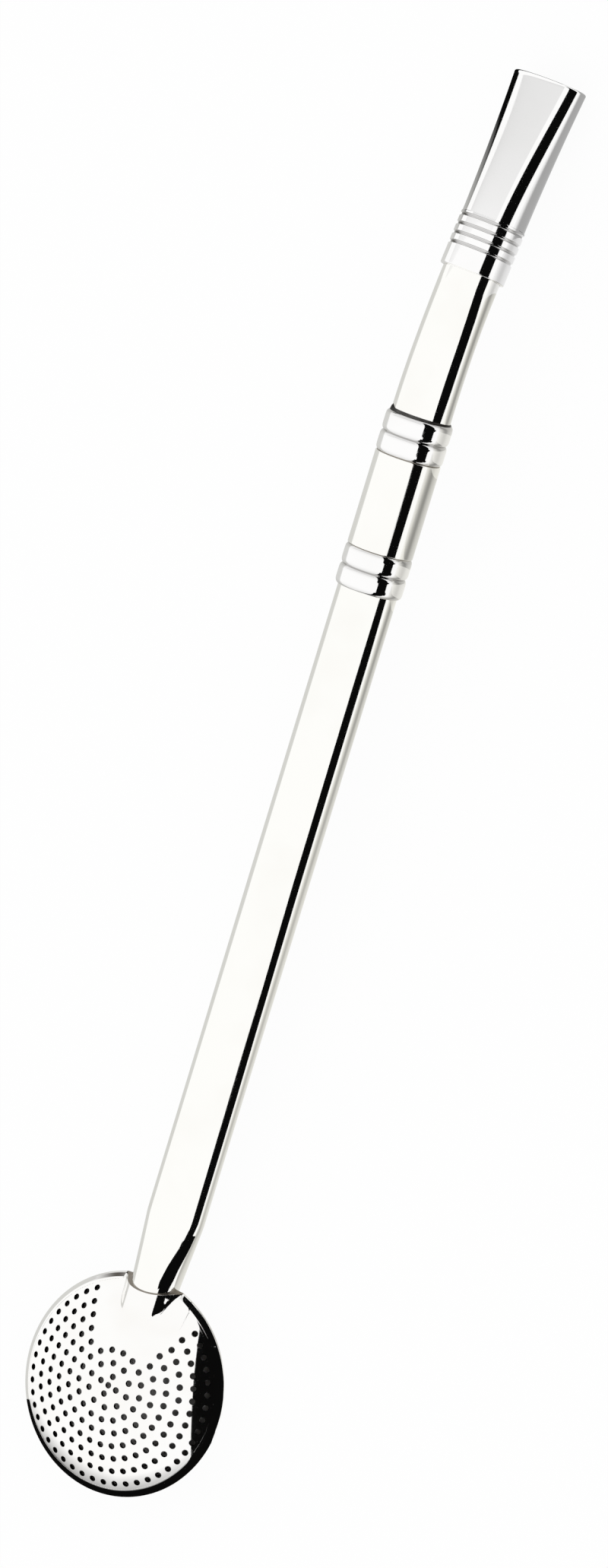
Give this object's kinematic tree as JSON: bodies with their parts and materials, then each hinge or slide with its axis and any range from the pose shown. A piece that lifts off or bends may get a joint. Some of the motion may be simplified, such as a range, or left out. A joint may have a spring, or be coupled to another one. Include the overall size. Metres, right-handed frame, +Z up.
{
  "type": "mate straw",
  "caption": "Bent metal mate straw with a flattened tube, beaded rings round a plain sleeve, an oval mouthpiece and a round perforated strainer.",
  "frame": {"origin": "on the floor, under the middle of the straw's box as it lies on its back", "axes": "+Y runs from the strainer to the mouth, +Z is up and out of the strainer's perforated front, X is across the strainer"},
  "size_m": [0.03, 0.197, 0.0139],
  "materials": {
    "tube_steel": "polished",
    "turned_steel": "polished",
    "pressed_steel": "polished"
  },
  "bodies": {
    "root": {"mouthpiece": "turned_steel", "mouth_ferrule": "turned_steel", "upper_tube": "tube_steel", "upper_ring": "turned_steel", "mid_sleeve": "tube_steel", "lower_ring": "turned_steel", "stem_tube": "tube_steel", "strainer_front": "pressed_steel", "strainer_back": "pressed_steel"}
  },
  "joints": []
}
